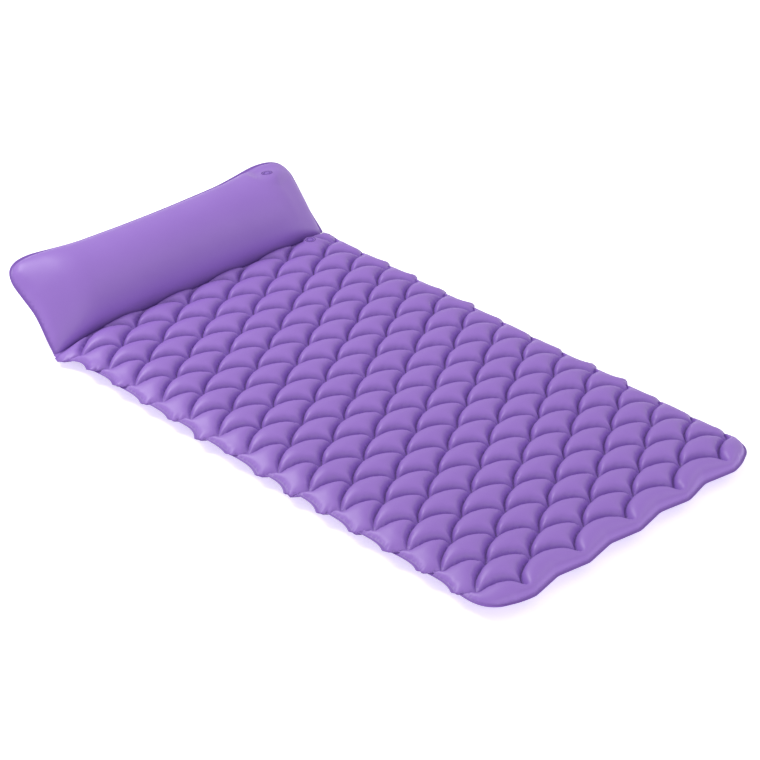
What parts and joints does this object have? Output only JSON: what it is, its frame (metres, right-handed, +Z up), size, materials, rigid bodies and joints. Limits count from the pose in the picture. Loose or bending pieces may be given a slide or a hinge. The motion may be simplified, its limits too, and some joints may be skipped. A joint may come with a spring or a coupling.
{
  "type": "inflatable pool mat",
  "caption": "Inflated lounging mat of purple film with fish-scale weld cells, a plump pillow tilted up at the head end, and a push-in air valve for each air chamber.",
  "frame": {"origin": "on the ground, under the middle of the inflated outline", "axes": "+X across the width towards the valves' side, +Y from the foot end towards the pillow, +Z up"},
  "size_m": [0.78, 1.4326, 0.1694],
  "materials": {
    "film": "satin",
    "valve": "satin"
  },
  "bodies": {
    "mat": {"mat_top_film": "film", "mat_bottom_film": "film", "head_weld_band": "film", "mat_valve_flange": "valve", "mat_valve_boot": "valve"},
    "pillow": {"pillow_front_film": "film", "pillow_back_film": "film", "pillow_valve_flange": "valve", "pillow_valve_boot": "valve"},
    "mat_stem": {"mat_valve_stem": "valve", "mat_valve_tether": "valve"},
    "mat_plug": {"mat_valve_plug": "valve"},
    "mat_flap": {"mat_valve_flap": "valve"},
    "pillow_stem": {"pillow_valve_stem": "valve", "pillow_valve_tether": "valve"},
    "pillow_plug": {"pillow_valve_plug": "valve"},
    "pillow_flap": {"pillow_valve_flap": "valve"}
  },
  "joints": [
    {"name": "pillow_tilt", "type": "hinge", "parent": "mat", "child": "pillow", "pos_m": [0, 0.54361, 0.028], "axis": [1, 0, 0], "range_deg": [-70, 12]},
    {"name": "mat_stem_slide", "type": "slide", "parent": "mat", "child": "mat_stem", "axis": [0, 0, 1], "range_m": [0, 0.014], "deforming": ["mat_valve_boot"]},
    {"name": "mat_plug_pull", "type": "slide", "parent": "mat_stem", "child": "mat_plug", "axis": [0, 0, 1], "range_m": [0, 0.014], "deforming": ["mat_valve_tether"]},
    {"name": "mat_flap_swing", "type": "hinge", "parent": "mat_stem", "child": "mat_flap", "pos_m": [0.3109, 0.50661, 0.03745], "axis": [0, -1, 0], "range_deg": [0, 35], "stiffness_Nm_per_rad": 0.002},
    {"name": "pillow_stem_slide", "type": "slide", "parent": "pillow", "child": "pillow_stem", "axis": [0, 0.1756, 0.9845], "range_m": [0, 0.014], "deforming": ["pillow_valve_boot"]},
    {"name": "pillow_plug_pull", "type": "slide", "parent": "pillow_stem", "child": "pillow_plug", "axis": [0, 0.1756, 0.9845], "range_m": [0, 0.014], "deforming": ["pillow_valve_tether"]},
    {"name": "pillow_flap_swing", "type": "hinge", "parent": "pillow_stem", "child": "pillow_flap", "pos_m": [0.3169, 0.65592, 0.1492], "axis": [0, -0.9845, 0.1756], "range_deg": [0, 35], "stiffness_Nm_per_rad": 0.002}
  ]
}
